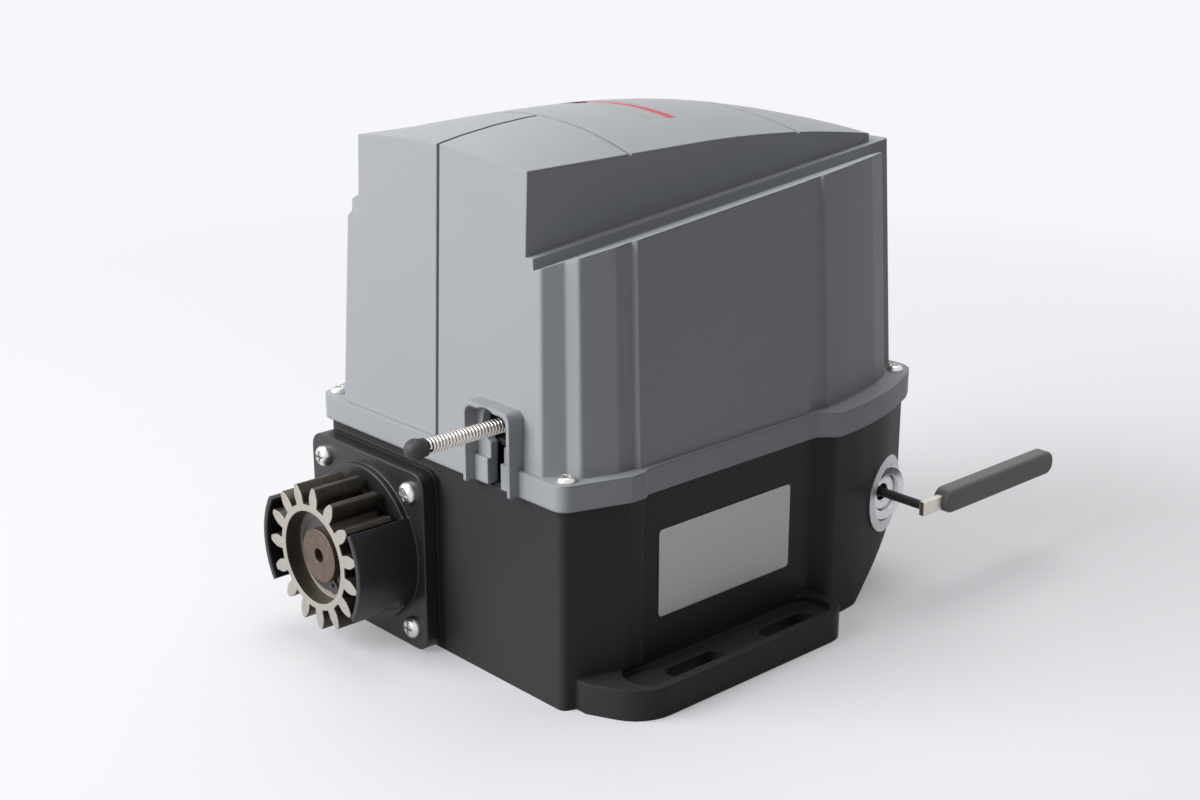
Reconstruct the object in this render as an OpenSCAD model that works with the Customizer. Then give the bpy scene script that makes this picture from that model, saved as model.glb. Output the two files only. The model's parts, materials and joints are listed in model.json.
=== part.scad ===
/* [Base casting] */
// Height of the base casting up to the seal
base_h = 90.5; // [85:0.5:100]
// Depth of the base from the gate side to the rear
base_depth = 232; // [225:1:245]
// Half width of the gate-side face
front_x = 82; // [80:0.5:84]
// Half width where the front pillars flare out
flare_x = 92.3; // [91:0.1:94]
// Half width at the flat name panels
panel_x = 90; // [88:0.5:91]
// Half width of the bumps behind the panels
bump_x = 97; // [95:0.5:99]
// Half width at the rear corners
tail_x = 80.5; // [78:0.5:84]
// Pitch of the sloped underside at the rear, in degrees
tail_pitch = 39.5; // [36:0.5:43]
// Wall of the casting round the rear well
cast_wall = 6; // [5:0.5:8]

/* [Feet] */
// Half width over the two feet
foot_x = 115; // [112:0.5:120]
// Thickness of a foot
foot_h = 14; // [10:1:18]
// Half distance between the two rows of slots
slot_x = 102.5; // [101:0.5:105]
// Distance between the two slots of one foot
slot_pitch = 58; // [50:1:64]
// Width of a fixing slot
slot_w = 9.5; // [8:0.5:11]
// Length of a fixing slot, end to end
slot_l = 33; // [20:1:40]

/* [Cover] */
// Height of the cover's bottom flange
rim_h = 11.5; // [9:0.5:14]
// Reach of the flange past the base
rim_reach = 2.6; // [1.5:0.1:3]
// Wall thickness of the cover
wall = 3; // [2.5:0.1:4]
// Draft of the cover's sides, degrees
side_draft = 3.3; // [2.5:0.1:3.8]
// Draft of the cover's front and rear, degrees
front_draft = 2.3; // [1.5:0.1:3]
// Half width of the raised crown
crown_x = 57.5; // [50:0.5:60]
// Height of the side ledges above the ground at the gate side
ledge_z = 193.5; // [185:0.5:198]
// Rise of the side ledges towards the rear, degrees
ledge_rise = 5.7; // [4:0.1:7]
// Height of the crown's side edges at their highest
crown_edge_z = 227; // [222:0.5:232]

/* [Pinion] */
// Module of the drive pinion, to suit the gate's rack
gear_m = 4; // [3.8:0.1:4.2]
// Number of pinion teeth
gear_z = 15; // [15:1:15]
// Face width of the pinion
gear_w = 24.6; // [20:0.1:26]
// Distance of the pinion's axis to the left of the centre line
gear_x = 41; // [40:0.5:42]
// Height of the pinion's axis
gear_y = 43.7; // [43:0.1:46]
// Diameter of the output shaft
shaft_d = 25; // [22:0.5:26]

/* [Motor] */
// Distance of the motor's axis behind the gate-side face
motor_y = 82; // [80:0.5:84]
// Radius of the motor housing
motor_r = 52; // [50:0.5:53]
// Height of the motor housing
motor_h = 90; // [84:1:92]
// Number of cooling ribs on the motor
motor_ribs = 28; // [20:1:36]

/* [Limit lever] */
// Distance of the lever's axis to the right of the centre line
lever_x = 42.5; // [41:0.5:44]
// Height of the lever's axis
lever_z = 118; // [116:0.5:120]
// Outer diameter of the lever's spring
spring_d = 7.2; // [7:0.1:7.6]
// Wire diameter of the lever's spring
wire_d = 1.15; // [1:0.05:1.2]
// Number of curls of the lever's spring
spring_curls = 24; // [20:1:24]
// Diameter of the lever's rubber ball
ball_d = 9.3; // [8:0.1:10]

/* [Release key] */
// Distance of the lock's axis behind the gate-side face
lock_y = 203; // [201:0.5:205]
// Height of the lock's axis
lock_z = 48; // [46:0.5:52]
// Outer radius of the lock's ring
ring_r = 18.8; // [17:0.1:20]
// Length of the key's grip
grip_l = 88; // [80:1:95]

/* [Hidden] */
$fn = 48;

// Fits shared by all pieces
over = 1;
run_gap = 0.04;
soft_gap = 0.3;
slip_gap = 0.2;
screw_gap = 0.1;

// Plan of the base, measured from its gate-side face
flare_y = 28;
pillar_y = 36;
panel_y0 = 39;
panel_y1 = 145;
bump_y0 = 153;
bump_y1 = 171;
haunch_x = 90;
haunch_y = 199;
tail_y = 222;
edge_r = 4;
bump_r = 7;
haunch_r = 120;
corner_r = 12;
slots_y = 88;

// Height levels
seal_h = 0.8;
rim_z = base_h + seal_h;
rim_top = rim_z + rim_h;
block_z = 84;

function unit(v) = v / norm(v);
function turn(a) = a > 180 ? a - 360 : a < -180 ? a + 360 : a;
function bend(a, b, c, r, n) =
    let (u = unit(a - b), v = unit(c - b), half = acos(max(-1, min(1, u * v))) / 2,
         t = min(r / tan(half), norm(a - b) / 2, norm(c - b) / 2), rr = t * tan(half),
         o = b + unit(u + v) * t / cos(half), p = b + u * t - o, q = b + v * t - o,
         a0 = atan2(p[1], p[0]), da = turn(atan2(q[1], q[0]) - a0))
    half > 89.7 || r == 0 ? [b] : [for (k = [0:n]) o + rr * [cos(a0 + da * k / n), sin(a0 + da * k / n)]];
// Outline with rounded corners from points given as [x, y, corner radius]
function rounded(v, n = 4) =
    let (m = len(v), p = [for (q = v) [q[0], q[1]]])
    [for (i = [0:m - 1]) each bend(p[(i + m - 1) % m], p[i], p[(i + 1) % m], v[i][2], n)];
// Whole outline from the points of its right half
function both_sides(half) =
    concat(half, [for (i = [len(half) - 1:-1:0]) [-half[i][0], half[i][1], half[i][2]]]);
function box_outline(w, d, r) =
    [[w / 2, -d / 2, r], [w / 2, d / 2, r], [-w / 2, d / 2, r], [-w / 2, -d / 2, r]];

module at_front() { translate([0, -slots_y, 0]) children(); }
// Solid that runs along +Y, drawn as its outline in X and Z
module along_y(y0, y1) { translate([0, y1, 0]) rotate([90, 0, 0]) linear_extrude(y1 - y0) children(); }
// Solid that runs along +X, drawn as its outline in Y and Z
module along_x(x0, x1) { translate([x0, 0, 0]) rotate([90, 0, 90]) linear_extrude(x1 - x0) children(); }
module block(low, high) { translate(low) cube(high - low); }
module rod_y(x, z, y0, y1, r) { translate([x, y1, z]) rotate([90, 0, 0]) cylinder(h = y1 - y0, r = r); }
module rod_x(y, z, x0, x1, r) { translate([x0, y, z]) rotate([0, 90, 0]) cylinder(h = x1 - x0, r = r); }
module rod_z(x, y, z0, z1, r) { translate([x, y, z0]) cylinder(h = z1 - z0, r = r); }

function base_half(grow) = [
    [front_x + grow, -grow, edge_r + grow],
    [flare_x + grow, flare_y, edge_r],
    [flare_x + grow, pillar_y, edge_r / 4],
    [panel_x + grow, panel_y0, edge_r / 4],
    [panel_x + grow, panel_y1, edge_r],
    [bump_x + grow, bump_y0, bump_r],
    [bump_x + grow - edge_r / 4, bump_y1, haunch_r],
    [haunch_x + grow, haunch_y, haunch_r],
    [tail_x + grow, tail_y, corner_r],
    [tail_x + grow - edge_r * 2, base_depth + grow, corner_r]
];
module base_plan(grow = 0) { polygon(rounded(both_sides(base_half(grow)))); }
slope_y = 175;
function slope_z(y, inset) = (y - slope_y) * tan(tail_pitch) + inset / cos(tail_pitch);
// Side outline of the base with its sloped rear underside
module base_side(inset = 0) {
    polygon(rounded([
        [-slots_y, inset, 0],
        [slope_y - inset * tan(tail_pitch / 2), inset, edge_r],
        [base_depth - inset, slope_z(base_depth - inset, inset), corner_r],
        [base_depth - inset, base_h + over, 0],
        [-slots_y, base_h + over, 0]
    ]));
}

// Gear case inside the casting
worm_m = 2;
wheel_z = 32;
worm_pitch_r = 9;
wheel_pitch_r = worm_m * wheel_z / 2;
worm_x = wheel_pitch_r + worm_pitch_r - gear_x;
wheel_w = 16;
wheel_tip_r = wheel_pitch_r + worm_m;
case_gap = 2.5;
case_r = wheel_tip_r + case_gap;
case_y0 = 46;
case_y1 = 108;
bearing_w = 15;
bearing_r = 26;
rear_bearing_r = 23.5;
rear_bearing_w = 14;
rear_journal_r = 10;
worm_bearing_r = 16;
worm_bearing_h = 10;
worm_bearing_z = 9;
worm_journal_r = 6;
upper_bearing_r = 17.5;
upper_bearing_h = 11;
upper_journal_r = 7.5;
block_y1 = 138;
shaft_way_r = 16;

// Flange for the pinion
flange_w = 85;
flange_t = 7;
pad_t = 3;
flange_r = 7;
flange_front = -pad_t - flange_t;
flange_screw_d = 65;
flange_hole_r = 3.1;
guard_r = 38;
guard_in_r = 35.5;
guard_front = -42;
guard_half = 33;
collar_r = 37;
collar_in_r = 27;
collar_t = 3;
seal_r = 17.5;

// Cover screws
screw_front_x = 80.5;
screw_front_y = 4;
screw_rear_x = 74;
screw_rear_y = 223.5;
cover_screw_r = 2;
cover_screw_l = 26;
cover_head_r = 4;
cover_head_h = 2.6;
SCREWS = [[screw_front_x, screw_front_y], [-screw_front_x, screw_front_y],
          [screw_rear_x, screw_rear_y], [-screw_rear_x, screw_rear_y]];
screw_boss_r = 6;

// Cable inlet in the rear well
inlet_x = 0;
inlet_y = 158;
inlet_r = 11;

// Lock in the rear of the right side
lock_bore_r = 13.5;
lock_plug_r = 9;
lock_in_x = 62;
lock_boss_r = 17;

// Release slider
slider_pin_r = 4;
slider_travel = 5;
cam_r = 9;
cam_offset = 3;
slider_t = 8;
slider_back = lock_y - cam_r - soft_gap;
slider_front = slider_back - slider_t;
slider_guide_x = 34;
slider_x1 = 60;

module slot(x, y) {
    for (s = [-1, 1]) rod_z(x, y + s * (slot_l - slot_w) / 2, -over, foot_h + over, slot_w / 2);
    block([x - slot_w / 2, y - (slot_l - slot_w) / 2, -over], [x + slot_w / 2, y + (slot_l - slot_w) / 2, foot_h + over]);
}

foot_y0 = 18;
foot_y1 = 148;
foot_front_r = 26;
foot_rear_r = 14;
foot_slope = 12;
// Both feet as one plate under the casting
module feet() {
    linear_extrude(foot_h) polygon(rounded(both_sides([
        [panel_x, foot_y0 - foot_slope, 0],
        [foot_x, foot_y0, foot_front_r],
        [foot_x, foot_y1, foot_rear_r],
        [panel_x, foot_y1, 0]
    ]), 6));
}

module base_housing() {
    color([0.05, 0.05, 0.06])
    difference() {
        union() {
            intersection() {
                linear_extrude(base_h) base_plan();
                along_x(-foot_x, foot_x) base_side();
            }
            feet();
            along_y(-pad_t, over) translate([-gear_x, gear_y]) polygon(rounded(box_outline(flange_w, flange_w, flange_r)));
        }
        rear_well();
        gear_case();
        for (s = [-1, 1], t = [-1, 1]) slot(s * slot_x, slots_y + t * slot_pitch / 2);
        for (s = [-1, 1], t = [-1, 1])
            rod_y(-gear_x + s * flange_screw_d / 2, gear_y + t * flange_screw_d / 2, -pad_t - over, case_y0 / 2, flange_hole_r);
        for (p = SCREWS) rod_z(p[0], p[1], base_h - cover_screw_l, base_h + over, cover_screw_r + screw_gap);
        for (p = TRAY_BOSSES) rod_z(p[0], p[1], tray_z - tray_screw_l, base_h, tray_screw_r + screw_gap);
        rod_z(inlet_x, inlet_y, -over, cast_wall * 3, inlet_r);
        rod_x(lock_y, lock_z, lock_in_x - over, bump_x + over, lock_bore_r);
    }
}

// Open space behind the gear case
module rear_well() {
    difference() {
        intersection() {
            translate([0, 0, cast_wall]) linear_extrude(base_h) polygon(rounded([
                [tail_x - cast_wall, block_y1, edge_r], [haunch_x - cast_wall, bump_y1, edge_r],
                [tail_x - cast_wall * 2, base_depth - cast_wall, corner_r],
                [-tail_x + cast_wall * 2, base_depth - cast_wall, corner_r],
                [-haunch_x + cast_wall, bump_y1, edge_r], [-tail_x + cast_wall, block_y1, edge_r]
            ]));
            along_x(-foot_x, foot_x) base_side(cast_wall);
        }
        for (p = [SCREWS[2], SCREWS[3]]) rod_z(p[0], p[1], 0, base_h + over, screw_boss_r);
        for (p = TRAY_BOSSES) rod_z(p[0], p[1], 0, tray_z, tray_boss_r);
        rod_x(lock_y, lock_z, lock_in_x, bump_x, lock_boss_r);
        rod_z(inlet_x, inlet_y, 0, cast_wall * 2, inlet_r + cast_wall);
    }
    translate([0, 0, base_h - lid_seat]) linear_extrude(base_h) polygon(rounded(both_sides([
        [front_x - cast_wall * 2, cast_wall, edge_r],
        [panel_x - cast_wall, panel_y0, edge_r],
        [panel_x - cast_wall, block_y1 + over, 0]
    ])));
}
lid_seat = base_h - block_z;

// Gear case, bearing seats and the release slider's guides
module gear_case() {
    rod_y(-gear_x, gear_y, case_y0, case_y1, case_r);
    block([-gear_x - case_r, case_y0, gear_y], [worm_x + upper_bearing_r, case_y1, base_h]);
    rod_z(worm_x, motor_y, worm_bearing_z + worm_bearing_h, base_h, upper_bearing_r);
    rod_z(worm_x, motor_y, worm_bearing_z, base_h, worm_bearing_r);
    rod_y(-gear_x, gear_y, -pad_t - over, bearing_w - pad_t + slip_gap, bearing_r);
    rod_y(-gear_x, gear_y, 0, case_y0 + over, shaft_way_r);
    rod_y(-gear_x, gear_y, case_y1 - over, case_y1 + rear_bearing_w + slip_gap, rear_bearing_r);
    rod_y(-gear_x, gear_y, case_y1, block_y1 + over, slider_pin_r + run_gap);
    rod_y(slider_guide_x, lock_z, block_y1 - guide_depth, block_y1 + over, slider_pin_r + run_gap);
    for (p = LID_SCREWS) rod_z(p[0], p[1], block_z - lid_screw_l, block_z + over, lid_screw_r + screw_gap);
    for (p = BRACKET_SCREWS) rod_z(p[0], p[1], block_z - bracket_screw_l, block_z + over, bracket_screw_r + screw_gap);
}
guide_depth = 30;

// Lid of the gear case, which also carries the motor
lid_t = 8;
lid_x0 = -80;
lid_x1 = 57;
lid_y0 = 31;
lid_y1 = 134;
lid_r = 8;
lid_screw_r = 3;
lid_screw_l = 14;
lid_head_r = 5;
lid_head_h = 3;
lid_screw_in = 7;
lid_top = block_z + lid_t;
LID_SCREWS = [for (x = [lid_x0 + lid_screw_in, lid_x1 - lid_screw_in], y = [lid_y0 + lid_screw_in, lid_y1 - lid_screw_in]) [x, y]];
module gearbox_lid() {
    color([0.62, 0.63, 0.65])
    difference() {
        union() {
            translate([(lid_x0 + lid_x1) / 2, (lid_y0 + lid_y1) / 2, block_z]) linear_extrude(lid_t)
                polygon(rounded(box_outline(lid_x1 - lid_x0, lid_y1 - lid_y0, lid_r)));
            rod_z(worm_x, motor_y, block_z, lid_top, motor_r);
        }
        rod_z(worm_x, motor_y, block_z - over, block_z + upper_seat, upper_bearing_r);
        rod_z(worm_x, motor_y, block_z - over, lid_top + over, upper_journal_r + lid_shaft_gap);
        for (p = LID_SCREWS) rod_z(p[0], p[1], block_z - over, lid_top + over, lid_screw_r + screw_gap);
        for (a = TIE_ANGLES) rod_z(tie_x(a), tie_y(a), block_z - over, lid_top + over, tie_r + screw_gap);
    }
}
upper_seat = 5;
lid_shaft_gap = 1;

module cross_screw(r, l, head_r, head_h) {
    cross_w = head_r / 4;
    difference() {
        union() {
            translate([0, 0, -l]) cylinder(h = l, r = r);
            rotate_extrude() polygon([[0, 0], [head_r, 0], [head_r, head_h * 0.35], [head_r * 0.86, head_h * 0.72],
                                      [head_r * 0.55, head_h], [0, head_h]]);
        }
        for (a = [0, 90]) rotate([0, 0, a])
            translate([-head_r * 0.6, -cross_w / 2, head_h * 0.4]) cube([head_r * 1.2, cross_w, head_h]);
    }
}
module lid_screws() {
    color([0.75, 0.75, 0.72])
    for (p = LID_SCREWS) translate([p[0], p[1], lid_top]) cross_screw(lid_screw_r, lid_screw_l + lid_t - over, lid_head_r, lid_head_h);
}

// Sealed ball bearing as one ring with its two shields
module bearing(bore, r, w) {
    shield = w / 8;
    ring = (r - bore) / 4;
    rotate_extrude() polygon([[bore, 0], [bore + ring, 0], [bore + ring, shield], [r - ring, shield], [r - ring, 0], [r, 0],
                              [r, w], [r - ring, w], [r - ring, w - shield], [bore + ring, w - shield], [bore + ring, w], [bore, w]]);
}
module front_bearing() {
    color([0.7, 0.7, 0.72])
    translate([-gear_x, bearing_w - pad_t, gear_y]) rotate([90, 0, 0]) bearing(shaft_d / 2 + run_gap, bearing_r, bearing_w);
}
module rear_bearing() {
    color([0.7, 0.7, 0.72])
    translate([-gear_x, case_y1 + rear_bearing_w, gear_y]) rotate([90, 0, 0])
        bearing(rear_journal_r + run_gap, rear_bearing_r, rear_bearing_w);
}
module lower_worm_bearing() {
    color([0.7, 0.7, 0.72])
    translate([worm_x, motor_y, worm_bearing_z]) bearing(worm_journal_r + run_gap, worm_bearing_r, worm_bearing_h);
}
module upper_worm_bearing() {
    color([0.7, 0.7, 0.72])
    translate([worm_x, motor_y, block_z + upper_seat - upper_bearing_h]) bearing(upper_journal_r + run_gap, upper_bearing_r, upper_bearing_h);
}

module cover_seal() {
    color([0.1, 0.1, 0.1])
    translate([0, 0, base_h]) linear_extrude(seal_h) difference() {
        base_plan(-seal_in);
        polygon(rounded(both_sides([
            [front_x - seal_w, seal_w, edge_r],
            [panel_x - seal_w, panel_y0, edge_r],
            [panel_x - seal_w, haunch_y - seal_w, edge_r],
            [screw_rear_x - screw_boss_r - seal_in, screw_rear_y - screw_boss_r * 2, edge_r],
            [screw_rear_x - screw_boss_r - seal_in, base_depth - seal_w, edge_r]
        ])));
        for (p = SCREWS) translate(p) circle(r = cover_screw_r + screw_gap);
    }
}
seal_in = 1;
seal_w = 5;

// Bare plate on the right name panel
plate_y0 = 48;
plate_y1 = 131;
plate_z0 = 31.5;
plate_z1 = 72;
plate_t = 0.6;
plate_r = 2;
module nameplate() {
    color([0.75, 0.75, 0.76])
    along_x(panel_x, panel_x + plate_t) translate([(plate_y0 + plate_y1) / 2, (plate_z0 + plate_z1) / 2])
        polygon(rounded(box_outline(plate_y1 - plate_y0, plate_z1 - plate_z0, plate_r)));
}

// One side of the guard round the pinion, with its foot fillet
module guard_ear() {
    ear = [for (k = [-6:6]) guard_half * k / 6];
    along_y(guard_front, flange_front + over) polygon(concat(
        [for (a = ear) guard_r * [cos(a), sin(a)]],
        [for (k = [6:-1:-6]) guard_in_r * [cos(guard_half * k / 6), sin(guard_half * k / 6)]]
    ));
}
module pinion_flange() {
    color([0.05, 0.05, 0.06])
    difference() {
        translate([-gear_x, 0, gear_y]) union() {
            along_y(flange_front, -pad_t) polygon(rounded(box_outline(flange_w, flange_w, flange_r)));
            rod_y(0, 0, flange_front - collar_t, flange_front + over, collar_r);
            guard_ear();
            mirror([1, 0, 0]) guard_ear();
        }
        rod_y(-gear_x, gear_y, flange_front - collar_t - over, flange_front, collar_in_r);
        rod_y(-gear_x, gear_y, flange_front - over, -pad_t + over, seal_r);
        for (s = [-1, 1], t = [-1, 1])
            rod_y(-gear_x + s * flange_screw_d / 2, gear_y + t * flange_screw_d / 2, flange_front - over, -pad_t + over, flange_hole_r);
    }
}
flange_screw_r = 3;
flange_head_r = 5;
flange_head_h = 3.4;
flange_screw_l = 24;
module flange_screws() {
    color([0.8, 0.8, 0.76])
    for (s = [-1, 1], t = [-1, 1])
        translate([-gear_x + s * flange_screw_d / 2, flange_front, gear_y + t * flange_screw_d / 2]) rotate([90, 0, 0])
            cross_screw(flange_screw_r, flange_screw_l, flange_head_r, flange_head_h);
}
module shaft_seal() {
    color([0.12, 0.1, 0.1])
    translate([-gear_x, -pad_t, gear_y]) rotate([90, 0, 0]) difference() {
        cylinder(h = flange_t, r = seal_r);
        translate([0, 0, -over]) cylinder(h = flange_t + 2 * over, r = shaft_d / 2 + run_gap);
        translate([0, 0, flange_t / 2]) rotate_extrude() polygon([
            [shaft_d / 2 + wall / 2, 0], [seal_r - wall / 2, 0], [seal_r - wall / 2, flange_t], [shaft_d / 2 + wall, flange_t]
        ]);
    }
}

// Involute tooth outline of the pinion
gear_front = -40.8;
gear_back = gear_front + gear_w;
pressure = 20;
gear_pitch_r = gear_m * gear_z / 2;
gear_tip_r = gear_pitch_r + gear_m;
gear_root_r = gear_pitch_r - gear_m * 1.25;
gear_base_r = gear_pitch_r * cos(pressure);
gear_phase = 12.77;
backlash_share = 0.04;
function inv(a) = tan(a) * 180 / PI - a;
function flank(r) = inv(acos(min(1, gear_base_r / r)));
half_tooth = 90 / gear_z * (1 - backlash_share) + flank(gear_pitch_r);
FLANK_SHARES = [0, 0.15, 0.35, 0.6, 0.8, 1];
function flank_r(s) = gear_base_r + (gear_tip_r - gear_base_r) * s;
function tooth(c) = concat(
    [gear_root_r * [cos(c - half_tooth), sin(c - half_tooth)]],
    [for (s = FLANK_SHARES) flank_r(s) * [cos(c - half_tooth + flank(flank_r(s))), sin(c - half_tooth + flank(flank_r(s)))]],
    [for (i = [len(FLANK_SHARES) - 1:-1:0]) let (r = flank_r(FLANK_SHARES[i]), a = c + half_tooth - flank(r)) r * [cos(a), sin(a)]],
    [gear_root_r * [cos(c + half_tooth), sin(c + half_tooth)]]
);
counterbore_r = 21.5;
counterbore_d = 8;
hub_r = 20;
hub_gap = 0.6;
key_w = 8;
key_h = 3.3;
module pinion() {
    color([0.55, 0.52, 0.47])
    difference() {
        union() {
            translate([-gear_x, 0, gear_y]) along_y(gear_front, gear_back)
                polygon([for (i = [0:gear_z - 1]) each tooth(gear_phase + 360 / gear_z * i)]);
            rod_y(-gear_x, gear_y, gear_back - over, flange_front - hub_gap, hub_r);
        }
        rod_y(-gear_x, gear_y, gear_front - over, 0, shaft_d / 2);
        rod_y(-gear_x, gear_y, gear_front - over, gear_front + counterbore_d, counterbore_r);
        block([-gear_x - key_w / 2, gear_front - over, gear_y], [-gear_x + key_w / 2, 0, gear_y + shaft_d / 2 + key_h]);
    }
}
shaft_front = -37.5;
clip_t = 1.5;
clip_y = gear_front + counterbore_d - clip_t;
clip_groove_r = shaft_d / 2 - clip_t * 0.6;
centre_hole_r = 3.3;
centre_hole_d = 14;
shaft_collar_r = 14;
shaft_collar_w = 5;
hollow_r = slider_pin_r + soft_gap;
shaft_back = case_y1 + rear_bearing_w;
wheel_y0 = motor_y - wheel_w / 2;
wheel_y1 = motor_y + wheel_w / 2;
clutch_t = 12;
dog_l = 4;
dog_gap = 0.3;
clutch_y1 = wheel_y0 - soft_gap;
clutch_y0 = clutch_y1 - clutch_t;
pin_r = 3;
pin_y = (clutch_y0 + clutch_y1) / 2;
key_len = 16;
module output_shaft() {
    color([0.5, 0.48, 0.45])
    difference() {
        union() {
            rod_y(-gear_x, gear_y, shaft_front, case_y1 - over, shaft_d / 2);
            rod_y(-gear_x, gear_y, case_y1 - 2 * over, shaft_back, rear_journal_r);
            rod_y(-gear_x, gear_y, bearing_w - pad_t + slip_gap * 2, bearing_w - pad_t + shaft_collar_w, shaft_collar_r);
        }
        translate([-gear_x, clip_y + clip_t, gear_y]) rotate([90, 0, 0]) difference() {
            cylinder(h = clip_t, r = shaft_d);
            translate([0, 0, -over]) cylinder(h = clip_t + 2 * over, r = clip_groove_r);
        }
        rod_y(-gear_x, gear_y, shaft_front - over, shaft_front + centre_hole_d, centre_hole_r);
        rod_y(-gear_x, gear_y, pin_y - pin_r - slider_travel - soft_gap, shaft_back + over, hollow_r);
        block([-gear_x - shaft_d, pin_y - pin_r - slider_travel - soft_gap, gear_y - pin_r - run_gap],
              [-gear_x + shaft_d, pin_y + pin_r + soft_gap, gear_y + pin_r + run_gap]);
        key_seat();
    }
}
module key_seat() {
    block([-gear_x - key_w / 2, gear_back - key_len, gear_y + shaft_d / 2 - key_h],
          [-gear_x + key_w / 2, gear_back, gear_y + shaft_d / 2 + key_h]);
}
module shaft_key() {
    color([0.45, 0.45, 0.45])
    key_seat();
}
clip_r = 17.5;
lug_r = 4;
lug_hole_r = 1.1;
lug_at = 19;
clip_turn = -52;
// Retaining ring with its two pierced lugs
module circlip() {
    color([0.25, 0.24, 0.23])
    translate([-gear_x, clip_y + clip_t, gear_y]) rotate([90, 0, 0]) difference() {
        union() {
            cylinder(h = clip_t, r = clip_r);
            for (s = [-1, 1]) rotate([0, 0, clip_turn + s * lug_half]) translate([lug_at - lug_r, 0, 0]) cylinder(h = clip_t, r = lug_r);
        }
        translate([0, 0, -over]) cylinder(h = clip_t + 2 * over, r = clip_groove_r);
        rotate([0, 0, clip_turn]) translate([0, -clip_slit / 2, -over]) cube([clip_r * 2, clip_slit, clip_t + 2 * over]);
        for (s = [-1, 1]) rotate([0, 0, clip_turn + s * lug_half]) translate([lug_at - lug_r, 0, -over])
            cylinder(h = clip_t + 2 * over, r = lug_hole_r);
    }
}
lug_half = 16;
clip_slit = 3;

// Worm wheel, whose teeth lean at the worm's lead angle
lead_angle = atan(worm_m / (2 * worm_pitch_r));
tooth_root_r = wheel_pitch_r - worm_m * 1.25;
tooth_half_share = 0.22;
dog_r0 = 15;
dog_r1 = 22;
dog_half = 14;
module wheel_tooth() {
    pitch = PI * worm_m;
    translate([tooth_root_r - over, 0, 0]) rotate([-lead_angle, 0, 0]) translate([0, 0, -wheel_w]) linear_extrude(2 * wheel_w)
        polygon([[0, -pitch * 0.36], [over, -pitch * 0.34], [over + worm_m * 1.25, -pitch * tooth_half_share], [over + worm_m * 2, -pitch * 0.12],
                 [over + worm_m * 2, pitch * 0.12], [over + worm_m * 1.25, pitch * tooth_half_share], [over, pitch * 0.34], [0, pitch * 0.36]]);
}
wheel_hub_r = 20;
wheel_hub_l = 10;
module worm_wheel() {
    color([0.72, 0.55, 0.28])
    translate([-gear_x, wheel_y1, gear_y]) rotate([90, 0, 0]) difference() {
        union() {
            cylinder(h = wheel_w, r = tooth_root_r);
            translate([0, 0, -wheel_hub_l]) cylinder(h = wheel_hub_l + over, r = wheel_hub_r);
            intersection() {
                translate([0, 0, wheel_w / 2]) for (i = [0:wheel_z - 1]) rotate([0, 0, 360 / wheel_z * (i + 0.5)]) wheel_tooth();
                cylinder(h = wheel_w, r = wheel_tip_r);
            }
        }
        translate([0, 0, -wheel_hub_l - over]) cylinder(h = wheel_w + wheel_hub_l + 2 * over, r = shaft_d / 2);
        for (a = [0:90:270]) rotate([0, 0, a]) translate([0, 0, wheel_w - dog_l - dog_gap])
            linear_extrude(dog_l + over) polygon(sector(dog_r0 - dog_gap, dog_r1 + dog_gap, dog_half + 1));
    }
}
function sector(r0, r1, half) = concat(
    [for (k = [-4:4]) r1 * [cos(half * k / 4), sin(half * k / 4)]],
    [for (k = [4:-1:-4]) r0 * [cos(half * k / 4), sin(half * k / 4)]]
);
clutch_r = 24;
module clutch_ring() {
    color([0.5, 0.5, 0.52])
    translate([-gear_x, clutch_y1, gear_y]) rotate([90, 0, 0]) difference() {
        union() {
            cylinder(h = clutch_t, r = clutch_r);
            for (a = [0:90:270]) rotate([0, 0, a]) translate([0, 0, -dog_l]) linear_extrude(dog_l + over)
                polygon(sector(dog_r0, dog_r1, dog_half));
        }
        translate([0, 0, -over]) cylinder(h = clutch_t + 2 * over, r = shaft_d / 2 + run_gap);
        translate([0, 0, clutch_t / 2]) rotate([0, 90, 0]) translate([0, 0, -clutch_r - over]) cylinder(h = 2 * (clutch_r + over), r = pin_r);
    }
}
module clutch_pin() {
    color([0.45, 0.45, 0.47])
    rod_x(pin_y, gear_y, -gear_x - clutch_r + slip_gap, -gear_x + clutch_r - slip_gap, pin_r);
}

// Motor
housing_wall = 6;
stator_r = motor_r - housing_wall;
rotor_r = 27;
air_gap = 0.5;
stator_rise = 20;
stator_z0 = lid_top + stator_rise;
stator_h = 56;
winding_h = 11;
rib_h = 3;
rib_w = 2;
tie_r = 2.5;
tie_head_r = 4.5;
tie_head_h = 4;
bell_t = 12;
bell_boss_r = 20;
top_bearing_h = 10;
TIE_ANGLES = [45, 135, 225, 315];
function tie_x(a) = worm_x + (stator_r + housing_wall / 2) * cos(a);
function tie_y(a) = motor_y + (stator_r + housing_wall / 2) * sin(a);
housing_top = lid_top + motor_h;
module motor_housing() {
    color([0.55, 0.56, 0.58])
    difference() {
        union() {
            rod_z(worm_x, motor_y, lid_top, housing_top, motor_r);
            for (i = [0:motor_ribs - 1]) translate([worm_x, motor_y, lid_top + rib_w * 2]) rotate([0, 0, 360 / motor_ribs * i])
                translate([motor_r - over, -rib_w / 2, 0]) cube([rib_h + over, rib_w, motor_h - rib_w * 4]);
        }
        rod_z(worm_x, motor_y, lid_top - over, housing_top + over, stator_r);
        for (a = TIE_ANGLES) rod_z(tie_x(a), tie_y(a), lid_top - over, housing_top + over, tie_r + screw_gap);
    }
}
slots_n = 12;
slot_depth = 10;
stator_slot_w = 5;
module stator_core() {
    color([0.4, 0.4, 0.42])
    translate([worm_x, motor_y, stator_z0]) linear_extrude(stator_h) difference() {
        circle(r = stator_r);
        circle(r = rotor_r + air_gap);
        for (i = [0:slots_n - 1]) rotate(360 / slots_n * i) translate([rotor_r, -stator_slot_w / 2]) square([slot_depth, stator_slot_w]);
    }
}
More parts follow.
